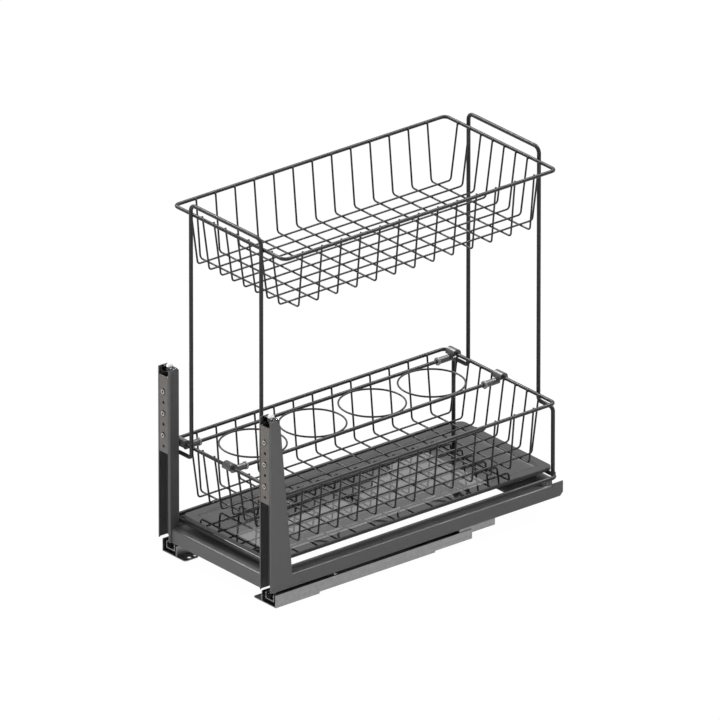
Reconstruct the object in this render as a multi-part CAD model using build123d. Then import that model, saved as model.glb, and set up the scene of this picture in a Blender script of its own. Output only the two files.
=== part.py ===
from build123d import *
import math
import os

# Pull out cabinet basket, in millimetres.
# +X is to the right of a person facing the cabinet, +Y goes into the cabinet, +Z is up.
# The dimensions count Y from the middle of the wire baskets. The saved parts count it from the
# middle of the closed depth, so that the origin lies under the centre of the whole object.

# ---------------------------------------------------------------- driving dimensions
FRAME_WIDTH = 240.0  # over the outer faces of the two side frames
BASKET_LENGTH = 467.6  # between the centres of a rim's end rods
FRAME_FRONT_REACH = 26.2  # the side frames start this far in front of the rim
FRAME_REAR_REACH = 10.7
FRAME_BOTTOM_Z = 23.2
FRAME_TOP_Z = 42.0  # top of the side rails and of the front beam
WALL = 1.2  # sheet of the side walls and posts
FLANGE = 1.5  # sheet of the top flanges, beam and rear plate
RAIL_WIDTH = 21.2
BEND = 2.5  # outer bend of the rails and of the beam
POST_TOP_Z = 273.2
POST_WIDTH = 25.6
POST_DEPTH = 16.0  # front edge to the back of the post web
POST_LIP = 3.0  # the walls of a post are bent inwards at the front
POST_BEND = 2.0
PANEL_TOP_DEPTH = 16.3  # depth of the outer panel at the top of a post
PANEL_FOOT_DEPTH = 36.2  # and where it meets the side rail
PANEL_REAR_CUT = 9.5  # height of the cut corner at the top of the outer panel
PANEL_REAR_CUT_DEPTH = 5.5
WALL_CORNER = 2.5  # rounded rear corner at the top of a post's inner wall
CORNER_CUT = 5.0
REAR_TAB_LENGTH = 18.5
REAR_TAB_RISE = 2.4

BEAM_SETBACK = 3.0
BEAM_DEPTH = 28.0
BEAM_HEIGHT = 20.0
BEAM_LIP = 8.0
REAR_PLATE_START = 70.3  # the rear plate starts this far in front of the rim's end
REAR_PLATE_DEPTH = 79.0
REAR_PLATE_LIP = 9.0
REAR_PLATE_PAD = 1.5  # height of the raised field on the rear plate
REAR_PLATE_MARGIN = 15.0

RUNNER_FRONT_REACH = 18.6  # a cabinet rail starts this far in front of the rim
RUNNER_LENGTH = 379.9
RUNNER_WALL = 1.2
RUNNER_HEIGHT = 18.3
RUNNER_FLOOR_Z = 2.5  # underside of the raised part of a cabinet rail
RUNNER_REAR_FLOOR_Z = 4.6
RUNNER_FOOT_LENGTH = 75.6  # front stretch that lies on the cabinet floor
RUNNER_LOW_LENGTH = 275.0  # from there on the underside is higher
RUNNER_INNER_HEIGHT = 16.0
RUNNER_REAR_STEP = 41.0  # stretch at the back that has only the high inner plate
RUNNER_REAR_RISE = 7.2
RUNNER_REAR_BASE_Z = 12.8
RUNNER_RISE_LENGTH = 21.0
RUNNER_PLATE_GAP = 0.3
TRAVEL_LENGTH = 360.0  # how far the basket pulls out
STOP_THICKNESS = 6.0
STOP_GAP = 0.3
DAMPER_WIDTH = 8.8
DAMPER_HEIGHT = 9.0
DAMPER_LENGTH = 64.0
DAMPER_BASE_Z = 5.0
DAMPER_OFFSET = 230.0
DAMPER_ROUND = 1.4

BALL_RADIUS = 2.6
BALL_GAP = 4.8  # between the two walls that a ball row runs between
MIDDLE_WALL = 1.6  # thicker, as it has a groove on each face
GROOVE_CLEARANCE = 0.3
BALL_Z = 11.7
BALL_PITCH = 21.0
BALL_COUNT = 7
CAGE_THICKNESS = 1.0
CAGE_HEIGHT = 8.0
CAGE_HOLE_CLEARANCE = 0.2
CAGE_LENGTH = 146.0
CAGE_MARGIN = 2.0
DRAWER_WEB_WIDTH = 5.0
DRAWER_WEB_BOTTOM_Z = 8.1
MIDDLE_BASE_Z = 6.3
MIDDLE_TOP_Z = 16.0
MIDDLE_SETBACK = 2.0
RIVET_RADIUS = 2.0
RIVET_HEAD_RADIUS = 3.4
RIVET_HEAD_HEIGHT = 1.0
RIVET_COUNT = 3
RIVET_END = 50.0
RIVET_INSET = 7.6
CATCH_OFFSET = 102.0
CATCH_LENGTH = 4.0
CATCH_INSET = 5.0
CATCH_SHEET = 1.0
CATCH_FOOT = 3.4
CATCH_GAP = 1.0

TAB_HOLE_INSET = 41.6  # from the outer face of a cabinet rail to its screw holes
TAB_END = 12.4  # from the front of a cabinet rail to the first screw hole
TAB_HOLE_RADIUS = 2.7
TAB_LENGTH = 25.0
TAB_EDGE = 6.4
TAB_CORNER = 4.0
TAB_SECOND_HOLE_RADIUS = 2.25
TAB_SECOND_HOLE_OFFSET = 9.5
TAB_OUTER_HOLE_INSET = 16.0
TAB_OUTER_HOLE_RADIUS = 2.0

ROD_RADIUS = 2.8  # hoops and base ring
RIM_RADIUS = 2.5
WIRE_RADIUS = 1.3
RIM_INSET = 3.9  # from the side frame's outer face to the centre of the rim rod
RIM_CORNER = 8.0
UPPER_RIM_Z = 501.0
LOWER_RIM_Z = 159.7
BASKET_DEPTH = 82.0
SIDE_TAPER = 8.6  # each long side leans in by this much
END_TAPER = 11.8
WIRE_BEND = 5.0
CROSS_WIRE_COUNT = 13
CROSS_WIRE_END = 34.6  # from the rim's end rod to the first cross wire
LONG_WIRE_COUNT = 8
LONG_WIRE_END = 30.4
WIRE_TIP = 1.6  # the wire ends stand this far above the rim's centre
WELD_GAP = 0.1

BASE_RING_INSET = 6.4
BASE_RING_RISE = 7.4  # the ring's centre over the side rails
BASE_RING_CORNER = 9.0
LEG_INSET = 15.2
UPRIGHT_INSET = 46.0
JOG_DROP = 11.7  # the jog lies this far below the lower rim
HOOP_TOP_RISE = 17.0  # the top of a hoop lies this far above the upper rim
HOOP_TOP_BEND = 9.0
JOG_BEND = 6.0
HOOP_SPLICE = 60.0

SADDLE_SHIFT = 3.0  # a saddle's centre is this far inside the ring rod
SADDLE_PIN = 2.5
SADDLE_RADIUS = 5.8
SADDLE_FRONT_END = 7.8  # from the rim's end to the front saddles
SADDLE_REAR_END = 16.8
SADDLE_WRAP = 1.9  # how far a saddle climbs around the ring rod
WASHER_RADIUS = 7.5
WASHER_THICKNESS = 0.8

TRAY_INSET = 23.0
TRAY_FRONT_REACH = 3.7
TRAY_REAR_REACH = 13.2
TRAY_THICKNESS = 5.0
TRAY_CORNER = 10.0
TRAY_EDGE_ROUND = 1.2
TRAY_BORDER = 17.0
GLASS_THICKNESS = 3.5
GLASS_REBATE = 3.0
GLASS_CLEARANCE = 0.2

HOLDER_INSET = 21.0  # from the side frame's outer face to the holder's outer rod
HOLDER_DROP = 5.6  # the rods lie this far below the rim
HOLDER_ROD_RADIUS = 2.5
RING_COUNT = 4
RING_END = 27.8
RING_SHIFT = 1.0
CLIP_LENGTH = 16.6
CLIP_RADIUS = 6.8
CLIP_CLEARANCE = 0.3
CLIP_SKIRT = 2.0
SOCKET_RADIUS = 4.6
SOCKET_LENGTH = 23.0
SOCKET_LAP = 1.2

BRACKET_DROP = 10.6  # from the top of a post to the top of its bracket
BRACKET_HEIGHT = 111.6
BRACKET_SHEET = 2.0
BRACKET_PROUD = 0.2  # the bracket's face stands this far in front of the post
BRACKET_ROUND = 1.0
BRACKET_CLEARANCE = 0.3
BRACKET_SCREW_PITCH = 32.0
BRACKET_SCREW_COUNT = 3
BRACKET_SCREW_END = 25.0  # from the bracket's lower end to the first screw
BRACKET_HOLE_RADIUS = 2.25
BRACKET_HOLE_DROP = 16.0
BRACKET_ADJUST = 2.0
SCREW_SHANK_RADIUS = 2.0
SCREW_SLOT_CLEARANCE = 0.3
SCREW_HEAD_RADIUS = 3.1
SCREW_HEAD_HEIGHT = 1.2
SCREW_HEAD_GAP = 0.3
RECESS_REACH = 1.7
RECESS_WIDTH = 0.8
RECESS_DEPTH = 0.8
CAP_DEPTH = 8.6
CAP_HEIGHT = 7.0
CAP_RISE = 0.8
CAP_ROUND = 0.6
CAP_CLEARANCE = 0.2
KNOB_RADIUS = 4.2
KNOB_RISE = 2.2

# ---------------------------------------------------------------- sizes worked out from those above
FRAME_HALF = FRAME_WIDTH / 2
RIM_HALF_WIDTH = FRAME_HALF - RIM_INSET
RIM_HALF_LENGTH = BASKET_LENGTH / 2
FRAME_FRONT_Y = -RIM_HALF_LENGTH - FRAME_FRONT_REACH
FRAME_REAR_Y = RIM_HALF_LENGTH + FRAME_REAR_REACH
RAIL_INNER_X = FRAME_HALF - RAIL_WIDTH
POST_INNER_X = FRAME_HALF - POST_WIDTH
POST_BACK_Y = FRAME_FRONT_Y + POST_DEPTH
PANEL_FOOT_Y = FRAME_FRONT_Y + PANEL_FOOT_DEPTH
FLANGE_END_Y = FRAME_REAR_Y - REAR_TAB_LENGTH
FLANGE_UNDER_Z = FRAME_TOP_Z - FLANGE
BEAM_FRONT_Y = FRAME_FRONT_Y + BEAM_SETBACK
REAR_PLATE_Y = RIM_HALF_LENGTH - REAR_PLATE_START
RUNNER_FRONT_Y = -RIM_HALF_LENGTH - RUNNER_FRONT_REACH
RUNNER_REAR_Y = RUNNER_FRONT_Y + RUNNER_LENGTH
OUTER_TRACK_X = FRAME_HALF - RUNNER_WALL - BALL_GAP / 2
MIDDLE_OUTER_X = OUTER_TRACK_X - BALL_GAP / 2
DRAWER_OUTER_X = MIDDLE_OUTER_X - MIDDLE_WALL - BALL_GAP
DRAWER_INNER_X = DRAWER_OUTER_X - DRAWER_WEB_WIDTH
MIDDLE_INNER_X = DRAWER_INNER_X - BALL_GAP - MIDDLE_WALL
INNER_TRACK_X = MIDDLE_INNER_X - BALL_GAP / 2
RUNNER_INNER_X = INNER_TRACK_X - BALL_GAP / 2 - RUNNER_WALL
UPPER_TRACK_OUTER_X = DRAWER_OUTER_X + BALL_GAP / 2
UPPER_TRACK_INNER_X = DRAWER_INNER_X - BALL_GAP / 2
GROOVE_RADIUS = BALL_RADIUS + GROOVE_CLEARANCE
RUNNER_LOW_END_Y = RUNNER_REAR_Y - RUNNER_REAR_STEP
STOP_Y = RUNNER_REAR_Y - STOP_THICKNESS
DRAWER_REAR_Y = STOP_Y - STOP_GAP
DRAWER_FRONT_Y = POST_BACK_Y + WALL
MIDDLE_FRONT_Y = RUNNER_FRONT_Y + MIDDLE_SETBACK
MIDDLE_REAR_Y = RUNNER_LOW_END_Y - MIDDLE_SETBACK
LOWER_CAGE_Y = RUNNER_FRONT_Y + TRAVEL_LENGTH / 4 + CAGE_MARGIN
UPPER_CAGE_Y = MIDDLE_FRONT_Y + TRAVEL_LENGTH / 4 + CAGE_MARGIN
RIVET_PITCH = (RUNNER_LENGTH - 2 * RIVET_END) / RIVET_COUNT
TAB_HOLE_X = FRAME_HALF - TAB_HOLE_INSET
TAB_FRONT_Y = RUNNER_FRONT_Y + TAB_END
TAB_REAR_Y = RUNNER_REAR_Y - 2 * RUNNER_REAR_STEP
TAB_OUTER_HOLE_X = FRAME_HALF - TAB_OUTER_HOLE_INSET
HOOP_Y = RIM_HALF_LENGTH + RIM_RADIUS + ROD_RADIUS + WELD_GAP
BASE_RING_HALF_WIDTH = FRAME_HALF - BASE_RING_INSET
BASE_RING_Z = FRAME_TOP_Z + BASE_RING_RISE
LEG_HALF_SPACING = FRAME_HALF - LEG_INSET
UPRIGHT_HALF_SPACING = FRAME_HALF - UPRIGHT_INSET
JOG_Z = LOWER_RIM_Z - JOG_DROP
HOOP_TOP_Z = UPPER_RIM_Z + HOOP_TOP_RISE
CROSS_WIRE_PITCH = 2 * (RIM_HALF_LENGTH - CROSS_WIRE_END) / (CROSS_WIRE_COUNT - 1)
LONG_WIRE_PITCH = 2 * (RIM_HALF_WIDTH - LONG_WIRE_END) / (LONG_WIRE_COUNT - 1)
TRAY_HALF_WIDTH = FRAME_HALF - TRAY_INSET
TRAY_FRONT_Y = -RIM_HALF_LENGTH - TRAY_FRONT_REACH
TRAY_REAR_Y = RIM_HALF_LENGTH + TRAY_REAR_REACH
TRAY_BOTTOM_Z = BASE_RING_Z + ROD_RADIUS
TRAY_TOP_Z = TRAY_BOTTOM_Z + TRAY_THICKNESS
BRACKET_FACE_Y = FRAME_FRONT_Y - BRACKET_PROUD
BRACKET_TOP_Z = POST_TOP_Z - BRACKET_DROP
BRACKET_BOTTOM_Z = BRACKET_TOP_Z - BRACKET_HEIGHT
BRACKET_SCREW_Z = BRACKET_BOTTOM_Z + BRACKET_SCREW_END
BRACKET_WIDTH = POST_WIDTH - 2 * WALL - 2 * BRACKET_CLEARANCE
BRACKET_FACE_WIDTH = POST_WIDTH - 2 * POST_LIP - 2 * BRACKET_CLEARANCE
SCREW_FRONT_Y = BRACKET_FACE_Y - SCREW_HEAD_GAP - SCREW_HEAD_HEIGHT
CHANNEL_MID_X = (POST_INNER_X + FRAME_HALF) / 2
HOLDER_X = HOLDER_INSET - FRAME_HALF  # centre of the rod nearer the side of the basket
HOLDER_SPACING = -HOLDER_X
HOLDER_Z = LOWER_RIM_Z - HOLDER_DROP
RING_PITCH = 2 * (RIM_HALF_LENGTH - RING_END) / RING_COUNT
MIDDLE_Y = (SCREW_FRONT_Y + TRAY_REAR_Y) / 2


# ---------------------------------------------------------------- helpers
def block(x0, x1, y0, y1, z0, z1):
    """A box between two corners."""
    size = (abs(x1 - x0), abs(y1 - y0), abs(z1 - z0))
    middle = ((x0 + x1) / 2, (y0 + y1) / 2, (z0 + z1) / 2)
    return Pos(*middle) * Box(*size)


def pin_z(x, y, z0, z1, radius):
    """A cylinder that stands along Z."""
    return Pos(x, y, (z0 + z1) / 2) * Cylinder(radius, z1 - z0)


def pin_y(x, y0, y1, z, radius):
    """A cylinder that lies along Y."""
    return Pos(x, (y0 + y1) / 2, z) * Rot(90, 0, 0) * Cylinder(radius, abs(y1 - y0))


def pin_x(x0, x1, y, z, radius):
    """A cylinder that lies along X."""
    return Pos((x0 + x1) / 2, y, z) * Rot(0, 90, 0) * Cylinder(radius, abs(x1 - x0))


def bent_rod(points, radius, bend, closed=False):
    """A round rod bent along a polyline."""
    path = FilletPolyline(*points, radius=bend, close=closed)
    profile = Plane(origin=path @ 0, z_dir=path % 0) * Circle(radius)
    return sweep(profile, path=path)


def plate_yz(outline, x0, x1):
    """A flat plate whose outline is given in Y and Z."""
    face = make_face(Polyline(*[(x0, y, z) for y, z in outline], close=True))
    return extrude(face, amount=x1 - x0, dir=(1, 0, 0))


def bar_xz(outline, y0, y1):
    """A long profile whose section is given in X and Z."""
    face = make_face(Polyline(*[(x, y0, z) for x, z in outline], close=True))
    return extrude(face, amount=y1 - y0, dir=(0, 1, 0))


def soften(part, axis, radius, **place):
    """Rounds the edges that run along an axis at the given coordinates."""
    chosen = []
    for edge in part.edges().filter_by(axis):
        middle = edge.center()
        if all(abs(getattr(middle, key.upper()) - value) < 0.01 for key, value in place.items()):
            chosen.append(edge)
    return fillet(chosen, radius)


def left(part):
    """The left-hand twin of a right-hand piece."""
    return mirror(part, about=Plane.YZ)


def save(part, name):
    placed = Pos(0, -MIDDLE_Y, 0) * part
    placed.label = name
    export_step(placed, f"parts/{name}.step")


def save_pair(part, name):
    save(part, f"{name}_right")
    save(left(part), f"{name}_left")


# ---------------------------------------------------------------- runners
def cabinet_rail():
    """The right-hand rail that is screwed to the cabinet floor."""
    outer, inner_x = FRAME_HALF, RUNNER_INNER_X
    wall_x = outer - RUNNER_WALL
    front, low_end = RUNNER_FRONT_Y, RUNNER_LOW_END_Y
    foot_end = front + RUNNER_FOOT_LENGTH
    step_y = front + RUNNER_LOW_LENGTH
    rail = block(wall_x, outer, front, foot_end, 0, RUNNER_HEIGHT)
    rail += block(inner_x, outer, front, foot_end, 0, RUNNER_WALL)
    rail += block(inner_x, inner_x + RUNNER_WALL, front, foot_end, 0, RUNNER_INNER_HEIGHT)
    levels = ((foot_end, step_y, 0, RUNNER_FLOOR_Z),
              (step_y, low_end, RUNNER_FLOOR_Z, RUNNER_REAR_FLOOR_Z))
    for start_y, end_y, below_z, floor_z in levels:
        rail += block(wall_x, outer, start_y, end_y, floor_z, RUNNER_HEIGHT)
        rail += block(inner_x, outer, start_y, end_y, floor_z, floor_z + RUNNER_WALL)
        rail += block(inner_x, outer, start_y - RUNNER_WALL, start_y, below_z, floor_z + RUNNER_WALL)
        rail += block(inner_x, inner_x + RUNNER_WALL, start_y, end_y, floor_z, RUNNER_INNER_HEIGHT)
    high_start = low_end - RUNNER_RISE_LENGTH
    plate_x = wall_x - RUNNER_WALL - RUNNER_PLATE_GAP
    rail += block(plate_x, wall_x, high_start, low_end, RUNNER_REAR_BASE_Z, RUNNER_HEIGHT)
    rail += block(plate_x, wall_x - RUNNER_PLATE_GAP, high_start, RUNNER_REAR_Y,
                  RUNNER_REAR_BASE_Z, RUNNER_HEIGHT + RUNNER_REAR_RISE)
    for x in (OUTER_TRACK_X, INNER_TRACK_X):
        rail -= pin_y(x, front - 1, high_start, BALL_Z, GROOVE_RADIUS)
    rail -= pin_z(TAB_OUTER_HOLE_X, TAB_FRONT_Y, -1, RUNNER_WALL + 1, TAB_OUTER_HOLE_RADIUS)
    return rail + front_tab() + rear_tab()


def screw_tab(start_y, hole_y, foot_x):
    """A tab on the cabinet floor with one screw hole and a rounded inner end."""
    inner = TAB_HOLE_X - TAB_EDGE
    tab = block(inner, foot_x, start_y, start_y + TAB_LENGTH, 0, RUNNER_WALL)
    tab = soften(tab, Axis.Z, TAB_CORNER, x=inner)
    return tab - pin_z(TAB_HOLE_X, hole_y, -1, RUNNER_WALL + 1, TAB_HOLE_RADIUS)


def front_tab():
    tab = screw_tab(RUNNER_FRONT_Y, TAB_FRONT_Y, RUNNER_INNER_X)
    second_y = TAB_FRONT_Y + TAB_SECOND_HOLE_OFFSET
    return tab - pin_z(TAB_HOLE_X, second_y, -1, RUNNER_WALL + 1, TAB_SECOND_HOLE_RADIUS)


def rear_tab():
    start_y = TAB_REAR_Y - TAB_LENGTH / 2
    tab = screw_tab(start_y, TAB_REAR_Y, RUNNER_INNER_X + RUNNER_WALL)
    return tab + block(RUNNER_INNER_X, RUNNER_INNER_X + RUNNER_WALL, start_y, start_y + TAB_LENGTH,
                       0, RUNNER_REAR_FLOOR_Z)


def middle_rail():
    """The right-hand rail that runs at half the speed of the carriage."""
    front, rear = MIDDLE_FRONT_Y, MIDDLE_REAR_Y
    inner = MIDDLE_INNER_X
    outer = MIDDLE_OUTER_X
    rail = block(inner, outer, front, rear, MIDDLE_BASE_Z, MIDDLE_TOP_Z)
    rail -= block(inner + MIDDLE_WALL, outer - MIDDLE_WALL, front - 1, rear + 1,
                  MIDDLE_BASE_Z + RUNNER_WALL, MIDDLE_TOP_Z + 1)
    for x in (OUTER_TRACK_X, INNER_TRACK_X, UPPER_TRACK_OUTER_X, UPPER_TRACK_INNER_X):
        rail -= pin_y(x, front - 1, rear + 1, BALL_Z, GROOVE_RADIUS)
    return rail


def drawer_rail():
    """The right-hand rail that carries the side frame."""
    front, rear = DRAWER_FRONT_Y, DRAWER_REAR_Y
    seat_z = FLANGE_UNDER_Z - RUNNER_WALL
    rail = block(DRAWER_INNER_X, DRAWER_OUTER_X, front, rear, DRAWER_WEB_BOTTOM_Z, seat_z)
    rail -= block(DRAWER_INNER_X + RUNNER_WALL, DRAWER_OUTER_X - RUNNER_WALL, front - 1, rear + 1,
                  DRAWER_WEB_BOTTOM_Z - 1, seat_z - RUNNER_WALL)
    rail += block(RAIL_INNER_X + WALL + BRACKET_CLEARANCE, FRAME_HALF - WALL - BRACKET_CLEARANCE,
                  front, rear, seat_z, FLANGE_UNDER_Z)
    for x in (UPPER_TRACK_OUTER_X, UPPER_TRACK_INNER_X):
        rail -= pin_y(x, front - 1, rear + 1, BALL_Z, GROOVE_RADIUS)
    for x, y in rivet_places():
        rail -= pin_z(x, y, seat_z - 1, FLANGE_UNDER_Z + 1, RIVET_RADIUS)
    return rail


def rivet_places():
    """Where the drawer rail is riveted up into the side frame."""
    first_y = RUNNER_FRONT_Y + RIVET_END
    return [(FRAME_HALF - RIVET_INSET, first_y + RIVET_PITCH * i) for i in range(RIVET_COUNT)]


def runner_rivets():
    """Blind rivets, flush in the flange, for both sides."""
    top = FRAME_TOP_Z - FLANGE / 3
    seat_z = FLANGE_UNDER_Z - RUNNER_WALL
    solids = []
    for x, y in rivet_places():
        rivet = pin_z(x, y, seat_z - RIVET_HEAD_HEIGHT, top, RIVET_RADIUS)
        rivet += pin_z(x, y, seat_z - RIVET_HEAD_HEIGHT, seat_z, RIVET_HEAD_RADIUS)
        solids += [rivet, left(rivet)]
    return Compound(children=solids)


def cage(track_x, start_y):
    """A strip that keeps one row of balls spaced."""
    half = CAGE_THICKNESS / 2
    strip = block(track_x - half, track_x + half, start_y, start_y + CAGE_LENGTH,
                  BALL_Z - CAGE_HEIGHT / 2, BALL_Z + CAGE_HEIGHT / 2)
    for y in ball_places(start_y):
        hole_radius = BALL_RADIUS + CAGE_HOLE_CLEARANCE
        strip -= pin_x(track_x - half - 1, track_x + half + 1, y, BALL_Z, hole_radius)
    return strip


def ball_places(start_y):
    middle = start_y + CAGE_LENGTH / 2
    return [middle + BALL_PITCH * (i - (BALL_COUNT - 1) / 2) for i in range(BALL_COUNT)]


def ball_row(track_x, start_y):
    return [Pos(track_x, y, BALL_Z) * Sphere(BALL_RADIUS) for y in ball_places(start_y)]


def rear_stop():
    """Bumper inside the back of a cabinet rail."""
    outer = FRAME_HALF - 2 * RUNNER_WALL - RUNNER_PLATE_GAP
    return block(DRAWER_INNER_X, outer, STOP_Y, RUNNER_REAR_Y, RUNNER_REAR_BASE_Z,
                 RUNNER_HEIGHT + RUNNER_REAR_RISE / 2)


def soft_close():
    """Closed damper housing on the inner wall of a cabinet rail."""
    outer = RUNNER_INNER_X
    inner = outer - DAMPER_WIDTH
    start_y = RUNNER_FRONT_Y + DAMPER_OFFSET - DAMPER_LENGTH
    housing = block(inner, outer, start_y, start_y + DAMPER_LENGTH, DAMPER_BASE_Z,
                    DAMPER_BASE_Z + DAMPER_HEIGHT)
    return soften(housing, Axis.Y, DAMPER_ROUND, x=inner)


# ---------------------------------------------------------------- carriage frame
def side_frame():
    """Right-hand L-shaped frame: the side rail and the outer panel of the post."""
    outer, inner = FRAME_HALF, RAIL_INNER_X
    low, top = FRAME_BOTTOM_Z, FRAME_TOP_Z
    channel = [(outer, low), (outer, top), (inner, top), (inner, low), (inner + WALL, low),
               (inner + WALL, FLANGE_UNDER_Z), (outer - WALL, FLANGE_UNDER_Z), (outer - WALL, low)]
    rail = bar_xz(channel, PANEL_FOOT_Y, FLANGE_END_Y)
    rail = soften(rail, Axis.Y, BEND, x=outer, z=top)
    rail += bar_xz(channel, POST_BACK_Y, PANEL_FOOT_Y)
    panel_rear = FRAME_FRONT_Y + PANEL_TOP_DEPTH
    post = [(FRAME_FRONT_Y, low), (PANEL_FOOT_Y, low), (PANEL_FOOT_Y, top),
            (panel_rear, POST_TOP_Z - PANEL_REAR_CUT), (panel_rear - PANEL_REAR_CUT_DEPTH, POST_TOP_Z),
            (FRAME_FRONT_Y, POST_TOP_Z)]
    rail += plate_yz(post, outer - WALL, outer)
    rail += block(outer - POST_LIP, outer, FRAME_FRONT_Y, FRAME_FRONT_Y + WALL, low, POST_TOP_Z)
    rail = soften(rail, Axis.Z, POST_BEND, x=outer, y=FRAME_FRONT_Y)
    tab_top = top + REAR_TAB_RISE
    tail = [(FLANGE_END_Y, low), (FRAME_REAR_Y - CORNER_CUT, low), (FRAME_REAR_Y, low + CORNER_CUT),
            (FRAME_REAR_Y, tab_top), (FLANGE_END_Y, tab_top)]
    rail += plate_yz(tail, outer - WALL, outer)
    rail += block(inner, inner + WALL, FLANGE_END_Y, FRAME_REAR_Y - REAR_TAB_RISE, low, top)
    for x, y in rivet_places():
        rail -= pin_z(x, y, FLANGE_UNDER_Z - 1, FRAME_TOP_Z - FLANGE / 3, RIVET_RADIUS)
    for x, y in saddle_places():
        rail -= pin_z(x, y, FLANGE_UNDER_Z - 1, top + 1, SADDLE_PIN)
    return rail


def post_channel():
    """Right-hand web and inner wall, open to the front."""
    outer, inner = FRAME_HALF - WALL, POST_INNER_X
    foot = FRAME_TOP_Z - BEAM_HEIGHT
    channel = block(inner, inner + WALL, FRAME_FRONT_Y, POST_BACK_Y, foot, POST_TOP_Z)
    channel = soften(channel, Axis.X, WALL_CORNER, y=POST_BACK_Y, z=POST_TOP_Z)
    channel += block(inner, inner + POST_LIP, FRAME_FRONT_Y, FRAME_FRONT_Y + WALL, foot, POST_TOP_Z)
    channel = soften(channel, Axis.Z, POST_BEND, x=inner, y=FRAME_FRONT_Y)
    web_top = POST_TOP_Z - WALL_CORNER
    channel += block(inner, outer, POST_BACK_Y - WALL, POST_BACK_Y, FRAME_BOTTOM_Z, web_top)
    for z in bracket_screw_heights():
        channel -= pin_y(CHANNEL_MID_X, POST_BACK_Y - WALL - 1, POST_BACK_Y + 1, z, SCREW_SHANK_RADIUS)
    return channel


def bracket_screw_heights():
    return [BRACKET_SCREW_Z + BRACKET_SCREW_PITCH * i for i in range(BRACKET_SCREW_COUNT)]


def door_bracket():
    """Right-hand bracket that is screwed to the cabinet door and clamped in the post."""
    half, face_half = BRACKET_WIDTH / 2, BRACKET_FACE_WIDTH / 2
    x0, x1 = CHANNEL_MID_X - half, CHANNEL_MID_X + half
    face_x0, face_x1 = CHANNEL_MID_X - face_half, CHANNEL_MID_X + face_half
    low, top = BRACKET_BOTTOM_Z, BRACKET_TOP_Z
    back = POST_BACK_Y - WALL - BRACKET_CLEARANCE
    face = BRACKET_FACE_Y
    behind_lip = FRAME_FRONT_Y + WALL + BRACKET_CLEARANCE
    bracket = block(face_x0, face_x1, face, behind_lip + BRACKET_SHEET, low, top)
    for x in (face_x0, face_x1):
        bracket = soften(bracket, Axis.Z, BRACKET_ROUND, x=x, y=face)
    bracket += block(x0, x1, behind_lip, back, low, top)
    bracket -= block(face_x0 + BRACKET_SHEET, face_x1 - BRACKET_SHEET, face + BRACKET_SHEET, back + 1,
                     low - 1, top + 1)
    bracket -= block(x0 + WALL, x1 - WALL, behind_lip + BRACKET_SHEET, back + 1, low - 1, top + 1)
    slot_radius = SCREW_SHANK_RADIUS + SCREW_SLOT_CLEARANCE
    behind = face + BRACKET_SHEET + 1
    reach = BRACKET_ADJUST + SCREW_SLOT_CLEARANCE
    for z in bracket_screw_heights():
        for end in (z - reach, z + reach):
            bracket -= pin_y(CHANNEL_MID_X, face - 1, behind, end, slot_radius)
        bracket -= block(CHANNEL_MID_X - slot_radius, CHANNEL_MID_X + slot_radius, face - 1, behind,
                         z - reach, z + reach)
        bracket -= pin_y(CHANNEL_MID_X, face - 1, behind, z - BRACKET_HOLE_DROP, BRACKET_HOLE_RADIUS)
    return bracket


def bracket_screws():
    """Cross-head screws that clamp a bracket in its post."""
    head_back = BRACKET_FACE_Y - SCREW_HEAD_GAP
    floor_y = SCREW_FRONT_Y + RECESS_DEPTH
    solids = []
    for z in bracket_screw_heights():
        screw = pin_y(CHANNEL_MID_X, SCREW_FRONT_Y, head_back, z, SCREW_HEAD_RADIUS)
        screw += pin_y(CHANNEL_MID_X, head_back, POST_BACK_Y, z, SCREW_SHANK_RADIUS)
        for wide, tall in ((RECESS_REACH, RECESS_WIDTH / 2), (RECESS_WIDTH / 2, RECESS_REACH)):
            screw -= block(CHANNEL_MID_X - wide, CHANNEL_MID_X + wide, SCREW_FRONT_Y - 1, floor_y,
                           z - tall, z + tall)
        solids.append(screw)
    return Compound(children=solids)


def post_cap():
    """Plug in the top of a post, with a round knob."""
    back = POST_BACK_Y - WALL
    front = back - CAP_DEPTH
    inset = WALL + CAP_CLEARANCE
    top = POST_TOP_Z + CAP_RISE
    plug = block(POST_INNER_X + inset, FRAME_HALF - inset, front, back, POST_TOP_Z - CAP_HEIGHT, top)
    plug = fillet(plug.faces().sort_by(Axis.Z)[-1].edges(), CAP_ROUND)
    return plug + pin_z(CHANNEL_MID_X, back - CAP_DEPTH / 2, top - 1, top + KNOB_RISE, KNOB_RADIUS)


def front_beam():
    """Folded cross beam between the posts."""
    half = POST_INNER_X
    y0, y1 = BEAM_FRONT_Y, BEAM_FRONT_Y + BEAM_DEPTH
    low, top = FRAME_TOP_Z - BEAM_HEIGHT, FRAME_TOP_Z
    lip = BEAM_LIP
    outline = [(y0, low), (y0, top), (y1, top), (y1, top - lip), (y1 - FLANGE, top - lip),
               (y1 - FLANGE, top - FLANGE), (y0 + FLANGE, top - FLANGE), (y0 + FLANGE, low)]
    beam = plate_yz(outline, -half, half)
    return soften(beam, Axis.X, BEND, y=y0, z=top)


def rear_plate():
    """Cross plate between the side rails at the back, with a raised field."""
    half = RAIL_INNER_X
    y0, y1 = REAR_PLATE_Y, REAR_PLATE_Y + REAR_PLATE_DEPTH
    top = FRAME_TOP_Z
    plate = block(-half, half, y0, y1, top - FLANGE, top)
    field_x, margin = half - REAR_PLATE_MARGIN, REAR_PLATE_MARGIN
    plate += block(-field_x, field_x, y0 + margin, y1 - margin, top, top + REAR_PLATE_PAD)
    for side in (-1, 1):
        plate += block(side * (half - FLANGE), side * half, y0, y1, top - REAR_PLATE_LIP, top)
    return plate


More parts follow.
